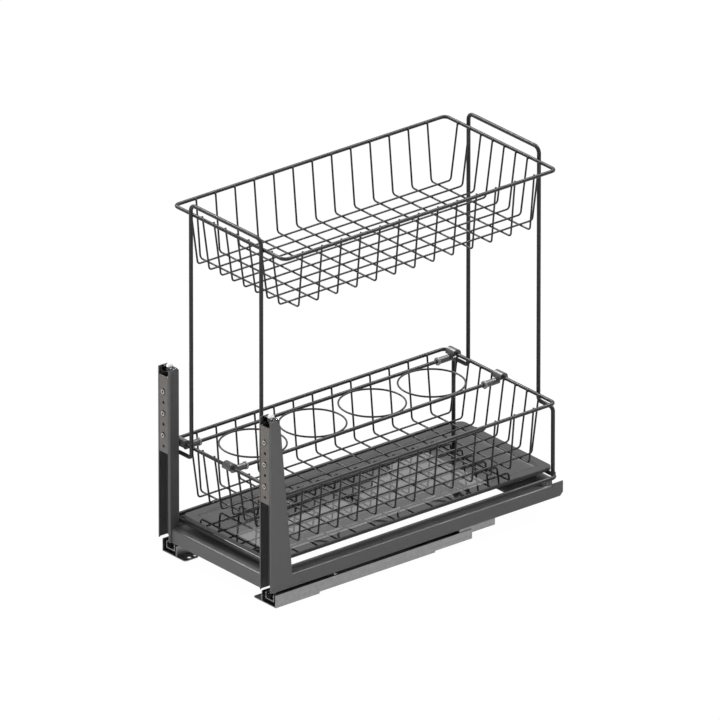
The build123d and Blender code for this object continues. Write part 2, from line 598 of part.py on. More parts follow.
def saddle_places():
    """Centres of the two saddles of the right-hand side."""
    x = BASE_RING_HALF_WIDTH - SADDLE_SHIFT
    return [(x, SADDLE_FRONT_END - RIM_HALF_LENGTH), (x, RIM_HALF_LENGTH - SADDLE_REAR_END)]


def ring_saddles():
    """Moulded saddles that the base ring sits in, pinned in the side rails."""
    top = BASE_RING_Z - ROD_RADIUS + SADDLE_WRAP
    solids = []
    for x, y in saddle_places():
        saddle = pin_z(x, y, FRAME_TOP_Z + WASHER_THICKNESS, top, SADDLE_RADIUS)
        saddle += pin_z(x, y, FLANGE_UNDER_Z, top, SADDLE_PIN)
        saddle -= pin_y(BASE_RING_HALF_WIDTH, y - 2 * SADDLE_RADIUS, y + 2 * SADDLE_RADIUS,
                        BASE_RING_Z, ROD_RADIUS + WELD_GAP)
        solids += [saddle, left(saddle)]
    return Compound(children=solids)


def saddle_washers():
    """Bright washers between the saddles and the side rails."""
    solids = []
    for x, y in saddle_places():
        washer = pin_z(x, y, FRAME_TOP_Z, FRAME_TOP_Z + WASHER_THICKNESS, WASHER_RADIUS)
        washer -= pin_z(x, y, FRAME_TOP_Z - 1, FRAME_TOP_Z + 2 * WASHER_THICKNESS, SADDLE_PIN)
        solids += [washer, left(washer)]
    return Compound(children=solids)


def catch_tabs():
    """Small bright tabs that hang from the drawer rails into the gap over the cabinet rails."""
    top = FLANGE_UNDER_Z - RUNNER_WALL
    x, y = FRAME_HALF - CATCH_INSET, RUNNER_FRONT_Y + CATCH_OFFSET
    bottom = RUNNER_HEIGHT + CATCH_GAP
    tab = block(x - CATCH_SHEET, x, y, y + CATCH_LENGTH, bottom, top)
    tab += block(x - CATCH_SHEET, x + CATCH_FOOT, y, y + CATCH_LENGTH, bottom, bottom + CATCH_SHEET)
    return Compound(children=[tab, left(tab)])


# ---------------------------------------------------------------- wire frame
def base_ring():
    """Closed ring of rod under the tray, from which the hoops rise."""
    half_x, half_y = BASE_RING_HALF_WIDTH, HOOP_Y
    corners = [(-half_x, -half_y), (half_x, -half_y), (half_x, half_y), (-half_x, half_y)]
    points = [(x, y, BASE_RING_Z) for x, y in corners]
    return bent_rod(points, ROD_RADIUS, BASE_RING_CORNER, closed=True)


def hoop(y):
    """One bent rod: two legs, two jogs inwards, two uprights and a rounded top."""
    leg, upright = LEG_HALF_SPACING, UPRIGHT_HALF_SPACING
    foot, splice = BASE_RING_Z + ROD_RADIUS, JOG_Z + HOOP_SPLICE
    lower = [(-leg, y, foot), (-leg, y, JOG_Z), (-upright, y, JOG_Z), (-upright, y, splice)]
    upper = [(-upright, y, splice), (-upright, y, HOOP_TOP_Z),
             (upright, y, HOOP_TOP_Z), (upright, y, splice)]
    side = bent_rod(lower, ROD_RADIUS, JOG_BEND)
    return side + bent_rod(upper, ROD_RADIUS, HOOP_TOP_BEND) + left(side)


def basket_rim(z):
    half_x, half_y = RIM_HALF_WIDTH, RIM_HALF_LENGTH
    corners = [(-half_x, -half_y), (half_x, -half_y), (half_x, half_y), (-half_x, half_y)]
    return bent_rod([(x, y, z) for x, y in corners], RIM_RADIUS, RIM_CORNER, closed=True)


def cross_wires(rim_z):
    """U-shaped wires over the width of a basket, welded inside the long rims."""
    top = RIM_HALF_WIDTH - RIM_RADIUS - WIRE_RADIUS - WELD_GAP
    low = top - SIDE_TAPER
    tip_z, floor_z = rim_z + WIRE_TIP, rim_z - BASKET_DEPTH
    points = [(-top, 0, tip_z), (-low, 0, floor_z), (low, 0, floor_z), (top, 0, tip_z)]
    wire = bent_rod(points, WIRE_RADIUS, WIRE_BEND)
    first = -CROSS_WIRE_PITCH * (CROSS_WIRE_COUNT - 1) / 2
    places = [first + CROSS_WIRE_PITCH * i for i in range(CROSS_WIRE_COUNT)]
    return Compound(children=[Pos(0, y, 0) * wire for y in places])


def long_wires(rim_z):
    """U-shaped wires over the length of a basket, lying on the cross wires."""
    top = RIM_HALF_LENGTH - RIM_RADIUS - WIRE_RADIUS - WELD_GAP
    low = top - END_TAPER
    tip_z = rim_z + WIRE_TIP
    floor_z = rim_z - BASKET_DEPTH + 2 * WIRE_RADIUS + WELD_GAP
    points = [(0, -top, tip_z), (0, -low, floor_z), (0, low, floor_z), (0, top, tip_z)]
    wire = bent_rod(points, WIRE_RADIUS, WIRE_BEND)
    first = -LONG_WIRE_PITCH * (LONG_WIRE_COUNT - 1) / 2
    places = [first + LONG_WIRE_PITCH * i for i in range(LONG_WIRE_COUNT)]
    return Compound(children=[Pos(x, 0, 0) * wire for x in places])


# ---------------------------------------------------------------- tray
def tray_slab(inset, z0, z1, corner):
    """A slab with rounded corners, set in from the tray's outline."""
    width = 2 * (TRAY_HALF_WIDTH - inset)
    length = TRAY_REAR_Y - TRAY_FRONT_Y - 2 * inset
    middle_y = (TRAY_REAR_Y + TRAY_FRONT_Y) / 2
    outline = Pos(0, middle_y, z0) * RectangleRounded(width, length, corner)
    return extrude(outline, amount=z1 - z0)


def tray_frame():
    """Closed border of the tray, with a rebate that the glass lies in."""
    ledge_z = TRAY_TOP_Z - GLASS_THICKNESS
    frame = tray_slab(0, TRAY_BOTTOM_Z, TRAY_TOP_Z, TRAY_CORNER)
    frame = fillet(frame.faces().sort_by(Axis.Z)[-1].edges(), TRAY_EDGE_ROUND)
    frame -= tray_slab(TRAY_BORDER - GLASS_REBATE, ledge_z, TRAY_TOP_Z + 1, TRAY_CORNER / 2)
    return frame - tray_slab(TRAY_BORDER, TRAY_BOTTOM_Z - 1, TRAY_TOP_Z, TRAY_CORNER / 3)


def tray_glass():
    inset = TRAY_BORDER - GLASS_REBATE + GLASS_CLEARANCE
    return tray_slab(inset, TRAY_TOP_Z - GLASS_THICKNESS, TRAY_TOP_Z, TRAY_CORNER / 2)


# ---------------------------------------------------------------- bottle holder
def holder_rods():
    """Two straight rods along the lower basket, held in the clips."""
    reach = RIM_HALF_LENGTH - CLIP_RADIUS
    solids = []
    for x in (HOLDER_X, HOLDER_X + HOLDER_SPACING):
        solids.append(pin_y(x, -reach, reach, HOLDER_Z, HOLDER_ROD_RADIUS))
    return Compound(children=solids)


def bottle_rings():
    """Wire rings between the rods, one for each bottle."""
    ring_radius = HOLDER_SPACING / 2 - HOLDER_ROD_RADIUS - WELD_GAP - WIRE_RADIUS
    first = -RING_PITCH * (RING_COUNT - 1) / 2
    middle_x = HOLDER_X + HOLDER_SPACING / 2
    places = [first + RING_SHIFT + RING_PITCH * i for i in range(RING_COUNT)]
    rings = [Pos(middle_x, y, HOLDER_Z) * Torus(ring_radius, WIRE_RADIUS) for y in places]
    return Compound(children=rings)


def holder_clip(x, end):
    """T-shaped clip: a saddle over the end rim and a socket for the rod."""
    rim_y = end * RIM_HALF_LENGTH
    bore = RIM_RADIUS + CLIP_CLEARANCE
    half = CLIP_LENGTH / 2
    clip = pin_x(x - half, x + half, rim_y, LOWER_RIM_Z, CLIP_RADIUS)
    clip += block(x - half, x + half, rim_y - CLIP_RADIUS, rim_y + CLIP_RADIUS,
                  LOWER_RIM_Z - CLIP_SKIRT, LOWER_RIM_Z)
    clip -= block(x - half, x + half, rim_y - 2 * CLIP_RADIUS, rim_y + 2 * CLIP_RADIUS,
                  LOWER_RIM_Z - 3 * CLIP_RADIUS, LOWER_RIM_Z - CLIP_SKIRT)
    socket_end = rim_y - end * (CLIP_RADIUS - SOCKET_LAP + SOCKET_LENGTH)
    socket_start = rim_y - end * (bore + SOCKET_LAP / 2)
    clip += pin_y(x, min(socket_start, socket_end), max(socket_start, socket_end),
                  HOLDER_Z, SOCKET_RADIUS)
    clip -= pin_x(x - half - 1, x + half + 1, rim_y, LOWER_RIM_Z, bore)
    clip -= block(x - half - 1, x + half + 1, rim_y - bore, rim_y + bore,
                  HOLDER_Z - 2 * SOCKET_RADIUS, LOWER_RIM_Z)
    rod_end = end * (RIM_HALF_LENGTH - CLIP_RADIUS)
    clip -= pin_y(x, min(rod_end, socket_end - end), max(rod_end, socket_end - end),
                  HOLDER_Z, HOLDER_ROD_RADIUS + WELD_GAP)
    return clip


# ---------------------------------------------------------------- build
def main():
    os.makedirs("parts", exist_ok=True)
    save_pair(cabinet_rail(), "cabinet_rail")
    save_pair(middle_rail(), "middle_rail")
    save_pair(drawer_rail(), "drawer_rail")
    save_pair(rear_stop(), "rear_stop")
    save_pair(soft_close(), "soft_close_unit")
    lower_tracks = (OUTER_TRACK_X, INNER_TRACK_X)
    upper_tracks = (UPPER_TRACK_OUTER_X, UPPER_TRACK_INNER_X)
    for level, tracks, start_y in (("lower", lower_tracks, LOWER_CAGE_Y),
                                   ("upper", upper_tracks, UPPER_CAGE_Y)):
        balls = [ball for x in tracks for ball in ball_row(x, start_y)]
        save_pair(Compound(children=[cage(x, start_y) for x in tracks]), f"{level}_ball_cage")
        save_pair(Compound(children=balls), f"{level}_balls")
    save(runner_rivets(), "runner_rivets")
    save(catch_tabs(), "catch_tabs")
    save_pair(side_frame(), "side_frame")
    save_pair(post_channel(), "post_channel")
    save_pair(door_bracket(), "door_bracket")
    save_pair(bracket_screws(), "bracket_screws")
    save_pair(post_cap(), "post_cap")
    save(front_beam(), "front_beam")
    save(rear_plate(), "rear_plate")
    save(ring_saddles(), "ring_saddles")
    save(saddle_washers(), "saddle_washers")
    save(base_ring(), "base_ring")
    save(hoop(-HOOP_Y), "front_hoop")
    save(hoop(HOOP_Y), "rear_hoop")
    for level, rim_z in (("upper", UPPER_RIM_Z), ("lower", LOWER_RIM_Z)):
        save(basket_rim(rim_z), f"{level}_basket_rim")
        save(cross_wires(rim_z), f"{level}_cross_wires")
        save(long_wires(rim_z), f"{level}_long_wires")
    save(tray_frame(), "tray_frame")
    save(tray_glass(), "tray_glass")
    save(holder_rods(), "holder_rods")
    save(bottle_rings(), "bottle_rings")
    for place, x in (("side", HOLDER_X), ("middle", HOLDER_X + HOLDER_SPACING)):
        save(holder_clip(x, -1), f"holder_clip_front_{place}")
        save(holder_clip(x, 1), f"holder_clip_rear_{place}")


main()
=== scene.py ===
import math

import bpy
from mathutils import Matrix, Vector


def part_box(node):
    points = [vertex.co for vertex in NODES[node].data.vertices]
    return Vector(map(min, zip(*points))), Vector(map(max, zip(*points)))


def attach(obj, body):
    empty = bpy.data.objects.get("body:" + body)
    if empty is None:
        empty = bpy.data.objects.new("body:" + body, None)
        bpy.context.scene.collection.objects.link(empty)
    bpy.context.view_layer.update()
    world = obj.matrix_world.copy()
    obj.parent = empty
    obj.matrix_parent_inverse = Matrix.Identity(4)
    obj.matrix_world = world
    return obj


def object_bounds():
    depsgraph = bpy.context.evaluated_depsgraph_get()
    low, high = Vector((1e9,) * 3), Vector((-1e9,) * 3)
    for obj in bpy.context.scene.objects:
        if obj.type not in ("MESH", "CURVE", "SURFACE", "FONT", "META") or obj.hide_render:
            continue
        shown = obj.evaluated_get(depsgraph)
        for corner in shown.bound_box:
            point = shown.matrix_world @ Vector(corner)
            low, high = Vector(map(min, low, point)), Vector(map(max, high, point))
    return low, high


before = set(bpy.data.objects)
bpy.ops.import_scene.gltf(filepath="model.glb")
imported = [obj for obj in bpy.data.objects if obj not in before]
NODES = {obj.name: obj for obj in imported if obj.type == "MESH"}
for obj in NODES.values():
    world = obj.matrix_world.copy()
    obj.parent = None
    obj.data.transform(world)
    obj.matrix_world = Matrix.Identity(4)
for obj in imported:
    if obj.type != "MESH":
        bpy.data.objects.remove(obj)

bl_info = {
    "name": "Pull Out Cabinet Basket",
    "version": (1, 0, 0),
    "blender": (4, 5, 0),
    "location": "View3D > Sidebar > Pull Out Basket",
    "description": "Finishes and small parts for a pull out cabinet basket, with its stage",
    "category": "Object",
}

MM = 0.001
CAD_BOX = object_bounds()

# Sizes and counts of the construction's pieces that the small parts sit on.
RIM_RADIUS = 2.5 * MM
ROD_RADIUS = 2.8 * MM
WIRE_RADIUS = 1.3 * MM
KNOB_RISE = 2.2 * MM
SCREW_COUNT = 3
SCREW_HEAD_RADIUS = 3.1 * MM
CROSS_WIRE_COUNT = 13
LONG_WIRE_COUNT = 8

# Small parts. A profile lists (radius, height) in millimetres, from the first ring to the last.
BEAD_RADIUS = 1.5 * MM
BEAD_SHAPE = (0.9, 0.9, 1.5)
BEAD_LUMPS = 0.16 * MM
FOOT_SINK = 1.2 * MM
COLLAR_INSET = 1.2 * MM
LEG_WELD = (
    (4.0, 0.0), (4.3, 0.5), (3.6, 1.4), (3.0, 3.2), (2.6, 3.4), (2.6, 0.0), (4.0, 0.0))
CLIP_COLLAR = (
    (2.75, -1.6), (5.2, -1.6), (5.7, -1.1), (5.7, 1.1), (5.2, 1.6), (2.75, 1.6), (2.75, -1.6))
KNOB = (
    (4.3, 0.0), (4.7, 0.2), (4.7, 0.8), (4.35, 1.0), (4.35, 2.0), (4.0, 2.4), (2.6, 2.5),
    (2.4, 3.0), (0.05, 3.1))
SCREW_RECESS = ((1.9, -0.3), (1.9, 0.06), (1.5, 0.16), (1.1, 0.06), (0.05, 0.02))
TURNED_SIDES = 28
RECESS_SIDES = 16
SMOOTH_BELOW = math.radians(40)
MERGE_DISTANCE = 0.00002

# Finishes that the sidebar doesn't offer.
EDGE_ROUNDING = 0.0006
COAT_RELIEF = 0.02 * MM
ROLLED_RELIEF = 0.00001
GLOSS_TOP_COLOR = (0.008, 0.008, 0.0082)
GLOSS_TOP_ROUGHNESS = 0.04
FACES_UP_ABOVE = 0.9
HAZE_LOW, HAZE_HIGH = 0.7, 1.3
SHEET_IOR = 1.45
CAGE_COLOR = (0.36, 0.36, 0.37)
BALL_COLOR = (0.62, 0.62, 0.63)
FASTENER_COLOR = (0.55, 0.55, 0.56)
STOP_COLOR = (0.09, 0.09, 0.09)
SADDLE_COLOR = (0.03, 0.03, 0.031)
# Light knob colour, partly a painted highlight for the glint on the post tops.
KNOB_GLINT_COLOR = (0.62, 0.63, 0.64)
CAP_TINT = (0.86, 0.87, 0.88)
# Painted shade: the near-black colour of the discs set into the screw heads' drive recesses.
RECESS_SHADE_COLOR = (0.012, 0.012, 0.012)

# Stage. A top lamp has a name, the side its light comes from and its share of the strength.
TOP_LAMPS = (
    ("rear_top_lamp", (0.0, 0.578, 0.816), 0.5),
    ("left_top_lamp", (-0.706, -0.066, 0.705), 0.6))
TOP_LAMP_PLACE = (0.0, 0.0, 3.0)
TOP_LAMP_ANGLE = math.radians(10)
FRONT_LAMP_PLACE = (0.5, -2.6, 0.5)
FRONT_LAMP_AIM = (0.0, 0.0, 0.25)
FRONT_LAMP_SIZE = 1.2
FLOOR_SIZE = 60.0
FLOOR_COLOR = (0.9, 0.9, 0.9, 1.0)
FLOOR_ROUGHNESS = 0.9
FLOOR_WHITE_SHARE = 0.985
WHITE = (1.0, 1.0, 1.0, 1.0)
PIVOT_HEIGHT = 0.06167
SENSOR_WIDTH = 36.0
PICTURE_WIDTH = 720.0
CAMERA_NEAR, CAMERA_FAR = 1.0, 200.0


# Sizes and colours a user can change
class BasketFinishes(bpy.types.PropertyGroup):
    """Colours of the basket's own surfaces."""

    paint: bpy.props.FloatVectorProperty(
        name="Frame paint", description="Powder coat on the side frames, posts and beam",
        default=(0.060, 0.060, 0.061), subtype="COLOR", size=3, min=0.0, max=1.0)
    wire: bpy.props.FloatVectorProperty(
        name="Wire paint", description="Powder coat on the hoops, rims and wires",
        default=(0.016, 0.016, 0.0163), subtype="COLOR", size=3, min=0.0, max=1.0)
    tray: bpy.props.FloatVectorProperty(
        name="Tray paint", description="Coat on the border of the tray",
        default=(0.070, 0.070, 0.071), subtype="COLOR", size=3, min=0.0, max=1.0)
    smoke: bpy.props.FloatVectorProperty(
        name="Glass tint", description="Tint of the smoked sheet in the tray",
        default=(0.20, 0.20, 0.202), subtype="COLOR", size=3, min=0.0, max=1.0)
    zinc: bpy.props.FloatVectorProperty(
        name="Runner zinc", description="Zinc plate of the runners",
        default=(0.27, 0.27, 0.272), subtype="COLOR", size=3, min=0.0, max=1.0)
    bracket: bpy.props.FloatVectorProperty(
        name="Bracket steel", description="Plate of the door brackets",
        default=(0.086, 0.077, 0.071), subtype="COLOR", size=3, min=0.0, max=1.0)
    clip: bpy.props.FloatVectorProperty(
        name="Clip plastic", description="Moulded clips of the bottle holder",
        default=(0.060, 0.060, 0.061), subtype="COLOR", size=3, min=0.0, max=1.0)


class BasketStage(bpy.types.PropertyGroup):
    """Camera, lamps and floor."""

    azimuth: bpy.props.FloatProperty(
        name="Camera azimuth", description="Turn of the camera about the upright axis",
        default=math.radians(50.702), subtype="ANGLE")
    elevation: bpy.props.FloatProperty(
        name="Camera elevation", description="Height of the camera above the horizon",
        default=math.radians(24.175), subtype="ANGLE")
    # The lens grows with the distance. Past about 46 m it is so long that a camera which frames
    # the whole object from its size can stand beyond its own far clipping distance.
    distance: bpy.props.FloatProperty(
        name="Camera distance", description="Distance from the camera to the object",
        default=40.0, unit="LENGTH", min=1.0)
    scale: bpy.props.FloatProperty(
        name="Picture scale",
        description="Pixels of a 720 pixel picture for one metre of the object",
        default=747.0, min=10.0)
    aim_right: bpy.props.FloatProperty(
        name="Aim sideways", description="Offset of the aim along the camera's right",
        default=-0.00707, unit="LENGTH")
    aim_up: bpy.props.FloatProperty(
        name="Aim upwards", description="Offset of the aim along the camera's up",
        default=0.17111, unit="LENGTH")
    key: bpy.props.FloatProperty(
        name="Top lamps", description="Strength of the lamps above the object",
        default=5.6, min=0.0)
    fill: bpy.props.FloatProperty(
        name="Front lamp", description="Power of the soft lamp in front of the object",
        default=20.0, min=0.0)
    sky: bpy.props.FloatProperty(
        name="Studio light", description="Strength of the even light all round",
        default=0.30, min=0.0)


# Shader helpers
def new_node(tree, kind, place, **values):
    """Adds a node and sets its plain properties and its sockets by name."""
    node = tree.nodes.new(kind)
    node.location = place
    for key, value in values.items():
        if hasattr(node, key):
            setattr(node, key, value)
        else:
            node.inputs[key.replace("_", " ")].default_value = value
    return node


def calculate(tree, operation, place, *values):
    """The result of a math node. Each value is a number or the socket it comes from."""
    node = new_node(tree, "ShaderNodeMath", place, operation=operation)
    for socket, value in zip(node.inputs, values):
        if isinstance(value, bpy.types.NodeSocket):
            tree.links.new(value, socket)
        else:
            socket.default_value = value
    return node.outputs[0]


def scaled_color(tree, place, color, factor):
    """A colour multiplied by a factor."""
    node = new_node(tree, "ShaderNodeVectorMath", place, operation="SCALE")
    tree.links.new(color, node.inputs[0])
    tree.links.new(factor, node.inputs["Scale"])
    return node.outputs[0]


def white_seen(tree, place):
    """1 for the rays that see a white surround: from the camera, a gloss or a clear sheet."""
    x, y = place
    rays = new_node(tree, "ShaderNodeLightPath", place).outputs
    seen = calculate(
        tree, "MAXIMUM", (x + 200, y), rays["Is Camera Ray"], rays["Is Glossy Ray"])
    return calculate(tree, "MAXIMUM", (x + 400, y), seen, rays["Is Transmission Ray"])


def new_group(name, inputs):
    """A node group with float or colour inputs that gives a colour, roughness and height."""
    group = bpy.data.node_groups.new(name, "ShaderNodeTree")
    for label, kind, value in inputs:
        socket = group.interface.new_socket(label, in_out="INPUT", socket_type=kind)
        socket.default_value = value
    for label, kind in (("Color", "NodeSocketColor"), ("Roughness", "NodeSocketFloat"),
                        ("Height", "NodeSocketFloat")):
        group.interface.new_socket(label, in_out="OUTPUT", socket_type=kind)
    start = new_node(group, "NodeGroupInput", (-900, 0))
    end = new_node(group, "NodeGroupOutput", (700, 0))
    return group, start.outputs, end.inputs


def coat_grain_group():
    """Fine orange peel, faint mottling and small specks of a powder coat or a moulding."""
    group, given, made = new_group("coat_grain", [
        ("Color", "NodeSocketColor", (0.1, 0.1, 0.1, 1)),
        ("Grain Scale", "NodeSocketFloat", 900.0),
        ("Mottle", "NodeSocketFloat", 0.12),
        ("Speckle", "NodeSocketFloat", 0.1),
        ("Roughness", "NodeSocketFloat", 0.45)])
    link = group.links.new
    where = new_node(group, "ShaderNodeTexCoord", (-900, -300)).outputs["Object"]
    spots = new_node(
        group, "ShaderNodeTexNoise", (-600, 450), Scale=330.0, Detail=2.0, Roughness=0.6)
    grain = new_node(group, "ShaderNodeTexNoise", (-600, -250), Detail=3.0, Roughness=0.55)
    broad = new_node(
        group, "ShaderNodeTexNoise", (-600, 150), Scale=38.0, Detail=4.0, Roughness=0.6)
    for noise in (spots, grain, broad):
        link(where, noise.inputs["Vector"])
    link(given["Grain Scale"], grain.inputs["Scale"])
    shift = calculate(group, "SUBTRACT", (-380, 150), broad.outputs["Fac"], 0.5)
    amount = calculate(group, "MULTIPLY", (-180, 150), shift, given["Mottle"])
    scatter = calculate(group, "SUBTRACT", (-380, 400), spots.outputs["Fac"], 0.5)
    specks = calculate(group, "MULTIPLY_ADD", (-180, 400), scatter, given["Speckle"], 1.0)
    gain = calculate(group, "ADD", (0, 150), amount, specks)
    rough = calculate(group, "MULTIPLY_ADD", (200, -20), shift, 0.35, given["Roughness"])
    link(scaled_color(group, (200, 200), given["Color"], gain), made["Color"])
    link(rough, made["Roughness"])
    link(grain.outputs["Fac"], made["Height"])
    return group


def rolled_metal_group():
    """Lengthwise rolling marks and faint crystal patches of plated sheet steel."""
    group, given, made = new_group("rolled_metal", [
        ("Color", "NodeSocketColor", (0.5, 0.5, 0.5, 1)),
        ("Roughness", "NodeSocketFloat", 0.35)])
    link = group.links.new
    where = new_node(group, "ShaderNodeTexCoord", (-1100, -100)).outputs["Object"]
    stretch = new_node(group, "ShaderNodeMapping", (-900, -100), Scale=(900.0, 9.0, 900.0))
    streaks = new_node(
        group, "ShaderNodeTexNoise", (-650, -100), Scale=1.0, Detail=4.0, Roughness=0.6)
    patches = new_node(group, "ShaderNodeTexVoronoi", (-650, 200), Scale=160.0)
    link(where, stretch.inputs["Vector"])
    link(stretch.outputs["Vector"], streaks.inputs["Vector"])
    link(where, patches.inputs["Vector"])
    shade = new_node(group, "ShaderNodeMapRange", (-400, 200), To_Min=0.90, To_Max=1.10)
    link(patches.outputs["Distance"], shade.inputs["Value"])
    lines = new_node(
        group, "ShaderNodeMapRange", (-400, -100),
        From_Min=0.3, From_Max=0.7, To_Min=0.88, To_Max=1.12)
    link(streaks.outputs["Fac"], lines.inputs["Value"])
    marks = lines.outputs["Result"]
    both = calculate(group, "MULTIPLY", (-150, 100), shade.outputs["Result"], marks)
    rough = calculate(group, "MULTIPLY", (100, -50), given["Roughness"], marks)
    link(scaled_color(group, (100, 200), given["Color"], both), made["Color"])
    link(rough, made["Roughness"])
    link(streaks.outputs["Fac"], made["Height"])
    return group


def start_material(name):
    """A new material with its node tree and its shader."""
    material = bpy.data.materials.new(name)
    material.use_nodes = True
    tree = material.node_tree
    return material, tree, tree.nodes["Principled BSDF"]


def grouped(name, kind, make_group, bump, depth, settings):
    """A material whose colour, roughness and relief come from a node group of one kind."""
    material, tree, shader = start_material(name)
    group = new_node(tree, "ShaderNodeGroup", (-500, 0))
    group.node_tree = bpy.data.node_groups.get(kind) or make_group()
    for label, value in settings:
        group.inputs[label].default_value = value
    relief = new_node(
        tree, "ShaderNodeBump", (-250, -200), Strength=bump, Distance=depth)
    tree.links.new(group.outputs["Color"], shader.inputs["Base Color"])
    tree.links.new(group.outputs["Roughness"], shader.inputs["Roughness"])
    tree.links.new(group.outputs["Height"], relief.inputs["Height"])
    tree.links.new(relief.outputs["Normal"], shader.inputs["Normal"])
    return material, tree, shader, relief


def coated(name, color, *, grain_scale, mottle, roughness, bump, edge=EDGE_ROUNDING,
           shine=0.5, speckle=0.1):
    """Powder coat or moulded plastic, with its edges rounded by the coat."""
    material, tree, shader, relief = grouped(
        name, "coat_grain", coat_grain_group, bump, COAT_RELIEF,
        [("Color", (*color, 1.0)), ("Grain Scale", grain_scale), ("Mottle", mottle),
         ("Speckle", speckle), ("Roughness", roughness)])
    shader.inputs["Specular IOR Level"].default_value = shine
    if edge > 0.0:
        rounding = new_node(tree, "ShaderNodeBevel", (-500, -350), samples=6, Radius=edge)
        tree.links.new(rounding.outputs["Normal"], relief.inputs["Normal"])
    return material


def rolled(name, color, roughness, bump=0.15):
    """Bare or plated sheet steel."""
    material, _, shader, _ = grouped(
        name, "rolled_metal", rolled_metal_group, bump, ROLLED_RELIEF,
        [("Color", (*color, 1.0)), ("Roughness", roughness)])
    shader.inputs["Metallic"].default_value = 1.0
    return material


def glossy_top(material):
    """Makes the faces that point up dark and glossy, like a lacquered sheet on a coated frame."""
    tree = material.node_tree
    shader = tree.nodes["Principled BSDF"]
    link = tree.links.new
    shape = new_node(tree, "ShaderNodeNewGeometry", (-900, 500))
    split = new_node(tree, "ShaderNodeSeparateXYZ", (-700, 500))
    link(shape.outputs["Normal"], split.inputs[0])
    upward = calculate(tree, "GREATER_THAN", (-500, 500), split.outputs["Z"], FACES_UP_ABOVE)
    # A mix node has one set of sockets for each kind of value: from, to and result.
    for socket, value, kind, (first, second, result) in (
            ("Base Color", (*GLOSS_TOP_COLOR, 1.0), "RGBA", (6, 7, 2)),
            ("Roughness", GLOSS_TOP_ROUGHNESS, "FLOAT", (2, 3, 0))):
        source = shader.inputs[socket].links[0].from_socket
        choice = new_node(tree, "ShaderNodeMix", (-200, 500), data_type=kind)
        choice.inputs[second].default_value = value
        link(upward, choice.inputs[0])
        link(source, choice.inputs[first])
        link(choice.outputs[result], shader.inputs[socket])
    return material


def see_through(name, tint, roughness):
    """Smoked or clear sheet."""
    material, tree, shader = start_material(name)
    where = new_node(tree, "ShaderNodeTexCoord", (-900, 0))
    haze = new_node(tree, "ShaderNodeTexNoise", (-700, 0), Scale=24.0, Detail=3.0)
    limits = new_node(
        tree, "ShaderNodeMapRange", (-450, 0),
        To_Min=roughness * HAZE_LOW, To_Max=roughness * HAZE_HIGH)
    tree.links.new(where.outputs["Object"], haze.inputs["Vector"])
    tree.links.new(haze.outputs["Fac"], limits.inputs["Value"])
    tree.links.new(limits.outputs["Result"], shader.inputs["Roughness"])
    shader.inputs["Base Color"].default_value = (*tint, 1.0)
    shader.inputs["Transmission Weight"].default_value = 1.0
    shader.inputs["IOR"].default_value = SHEET_IOR
    return material


def finish_nodes(material, *names):
    """Gives a finish to nodes of the frame."""
    for name in names:
        mesh = NODES[name].data
        mesh.materials.clear()
        mesh.materials.append(material)


def both_sides(*names):
    """The names of the left and right node of each kind."""
    return [f"{name}_{side}" for name in names for side in ("left", "right")]


# Modelling helpers
def deselect():
    """Deselects every object."""
    bpy.ops.object.select_all(action="DESELECT")


def edit_all(piece):
    """Enters edit mode on one piece with all of it selected."""
    bpy.context.view_layer.objects.active = piece
    bpy.ops.object.mode_set(mode="EDIT")
    bpy.ops.mesh.select_all(action="SELECT")


def turned(profile, sides=TURNED_SIDES):
    """A turned piece about Z: a ring that is extruded and widened from point to point."""
    deselect()
    points = [(radius * MM, height * MM) for radius, height in profile]
    radius, height = points[0]
    bpy.ops.mesh.primitive_circle_add(vertices=sides, radius=radius, location=(0, 0, height))
    piece = bpy.context.object
    bpy.ops.object.transform_apply()
    edit_all(piece)
    for new_radius, new_height in points[1:]:
        bpy.ops.mesh.extrude_region_move(
            TRANSFORM_OT_translate={"value": (0, 0, new_height - height)})
        ratio = new_radius / radius
        bpy.ops.transform.resize(
            value=(ratio, ratio, 1.0), center_override=(0, 0, new_height))
        radius, height = new_radius, new_height
    bpy.ops.mesh.select_all(action="SELECT")
    bpy.ops.mesh.remove_doubles(threshold=MERGE_DISTANCE)
    bpy.ops.mesh.fill_holes(sides=0)
    bpy.ops.mesh.normals_make_consistent(inside=False)
    bpy.ops.object.mode_set(mode="OBJECT")
    bpy.ops.object.shade_smooth_by_angle(angle=SMOOTH_BELOW)
    return piece


def weld_bead():
    """One lengthened, slightly lumpy bead of weld."""
    deselect()
    bpy.ops.mesh.primitive_ico_sphere_add(subdivisions=2, radius=BEAD_RADIUS)
    bead = bpy.context.object
    edit_all(bead)
    bpy.ops.transform.resize(value=BEAD_SHAPE)
    bpy.ops.transform.vertex_random(offset=BEAD_LUMPS, seed=5)
    bpy.ops.object.mode_set(mode="OBJECT")
    bpy.ops.object.shade_smooth()
    return bead


def copies_joined(model, placings, name):
    """Copies a piece to each placing, each with its own mesh, and joins the copies."""
    copies = []
    for placing in placings:
        twin = model.copy()
        twin.data = model.data.copy()
        twin.data.transform(placing)
        bpy.context.collection.objects.link(twin)
        copies.append(twin)
    bpy.data.objects.remove(model)
    deselect()
    for twin in copies:
        twin.select_set(True)
    bpy.context.view_layer.objects.active = copies[0]
    bpy.ops.object.join()
    whole = bpy.context.object
    whole.name = name
    whole.data.name = name
    return whole


def at(x, y, z, turn=Matrix.Identity(4)):
    """A placing: a turn, then a move."""
    return Matrix.Translation((x, y, z)) @ turn


def spread(count, low, high):
    """Evenly spaced values from low to high."""
    return [low + (high - low) * i / (count - 1) for i in range(count)]


def finish_piece(piece, material, body):
    """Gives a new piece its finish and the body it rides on."""
    piece.data.materials.clear()
    piece.data.materials.append(material)
    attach(piece, body)


